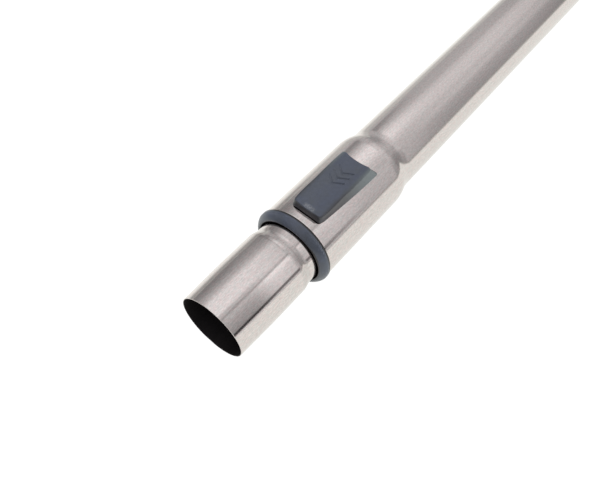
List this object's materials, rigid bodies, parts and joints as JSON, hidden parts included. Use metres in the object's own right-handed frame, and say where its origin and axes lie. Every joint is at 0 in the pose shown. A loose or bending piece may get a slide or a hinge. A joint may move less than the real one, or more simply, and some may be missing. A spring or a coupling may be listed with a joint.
{
  "type": "telescopic vacuum wand",
  "caption": "Telescopic steel suction wand for a vacuum cleaner, with a plastic slide button that frees the inner tube.",
  "frame": {"origin": "centre of the open handle end of the outer tube", "axes": "+X along the wand and out of the handle end, +Z through the slide button, +Y completes the right-handed frame"},
  "size_m": [0.56, 0.0412, 0.0443],
  "materials": {
    "tube_steel": "stainless steel, brushed along the tube",
    "slate_plastic": "fine matt grain, slate grey",
    "sleeve_plastic": "black, matt",
    "carriage_plastic": "natural low-friction plastic",
    "bush_plastic": "black, low-friction plastic",
    "wiper_felt": "dark wool felt",
    "seal_rubber": "soft black rubber",
    "roller_steel": "ground steel",
    "spring_steel": "drawn spring wire"
  },
  "bodies": {
    "outer": {"outer_tube": "tube_steel", "guide_sleeve": "sleeve_plastic", "end_ring": "slate_plastic", "wiper_felt": "wiper_felt", "return_spring": "spring_steel"},
    "inner": {"inner_tube": "tube_steel", "slide_bush_left": "bush_plastic", "slide_bush_right": "bush_plastic", "slide_seal": "seal_rubber"},
    "slider": {"slider_cap": "slate_plastic", "slider_carriage": "carriage_plastic"},
    "roller": {"lock_roller": "roller_steel"}
  },
  "joints": [
    {"name": "tube_slide", "type": "slide", "parent": "outer", "child": "inner", "axis": [-1, 0, 0], "range_m": [0, 0.36]},
    {"name": "slider_slide", "type": "slide", "parent": "outer", "child": "slider", "axis": [-1, 0, 0], "range_m": [0, 0.006], "stiffness_N_per_m": 800, "springref_m": -0.003, "deforming": ["return_spring"]},
    {"name": "roller_lift", "type": "slide", "parent": "outer", "child": "roller", "axis": [0, 0, 1], "range_m": [0, 0.0016]}
  ],
  "couplings": [
    {"joint": "roller_lift", "follows": "slider_slide", "ratio": 0.26666}
  ]
}
